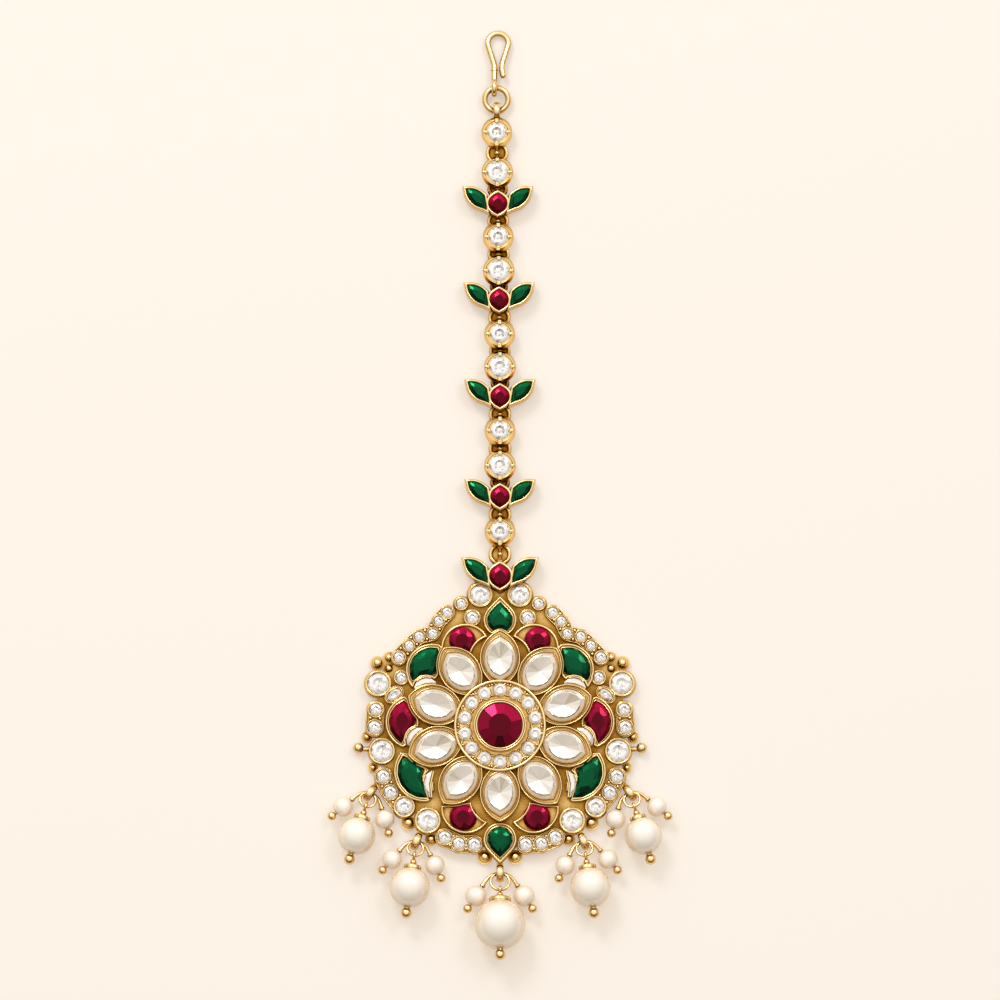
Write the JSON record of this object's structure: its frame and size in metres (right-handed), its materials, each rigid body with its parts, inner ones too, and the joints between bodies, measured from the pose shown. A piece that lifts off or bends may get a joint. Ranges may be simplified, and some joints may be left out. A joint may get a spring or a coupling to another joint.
{
  "type": "maang tikka",
  "caption": "Bridal maang tikka in gold: a hair hook, a chain of ruby flowers and crystals, and a round pendant of uncut stones with pearl drops.",
  "frame": {"origin": "centre of the pendant's flat back", "axes": "+Y along the chain towards the hair hook, +Z out of the pendant's face, +X to the right seen from the front"},
  "size_m": [0.054, 0.1467, 0.008],
  "materials": {
    "gold": "polished, with darker gold in the recesses",
    "ruby": "faceted and polished",
    "emerald": "faceted and polished",
    "polki": "uncut stone over silver foil",
    "crystal": "faceted and polished",
    "pearl": "pearly lustre"
  },
  "bodies": {
    "root": {"bottom_emerald": "emerald", "bottom_ruby_left": "ruby", "bottom_ruby_right": "ruby", "centre_ruby": "ruby", "chain_crystals": "crystal", "chain_emeralds": "emerald", "chain_rubies": "ruby", "crescents": "polki", "crest_emeralds": "emerald", "crest_ruby": "ruby", "drop_rings": "gold", "drop_yokes": "gold", "flower_link_1": "gold", "flower_link_2": "gold", "flower_link_3": "gold", "flower_link_4": "gold", "hair_hook": "gold", "halo_crystals": "crystal", "hook_ring": "gold", "joining_rings": "gold", "lower_emerald_left": "emerald", "lower_emerald_right": "emerald", "pearl_centre": "pearl", "pearl_inner_left": "pearl", "pearl_inner_right": "pearl", "pearl_outer_left": "pearl", "pearl_outer_right": "pearl", "pearl_pins": "gold", "pendant_frame": "gold", "petal_stone_1": "polki", "petal_stone_10": "polki", "petal_stone_2": "polki", "petal_stone_3": "polki", "petal_stone_4": "polki", "petal_stone_5": "polki", "petal_stone_6": "polki", "petal_stone_7": "polki", "petal_stone_8": "polki", "petal_stone_9": "polki", "rim_crystals": "crystal", "side_ruby_left": "ruby", "side_ruby_right": "ruby", "small_pearls": "pearl", "stone_link_1": "gold", "stone_link_2": "gold", "stone_link_3": "gold", "stone_link_4": "gold", "stone_link_5": "gold", "stone_link_6": "gold", "stone_link_7": "gold", "stone_link_8": "gold", "stone_link_9": "gold", "top_emerald": "emerald", "top_ruby_left": "ruby", "top_ruby_right": "ruby", "upper_emerald_left": "emerald", "upper_emerald_right": "emerald"}
  },
  "joints": []
}
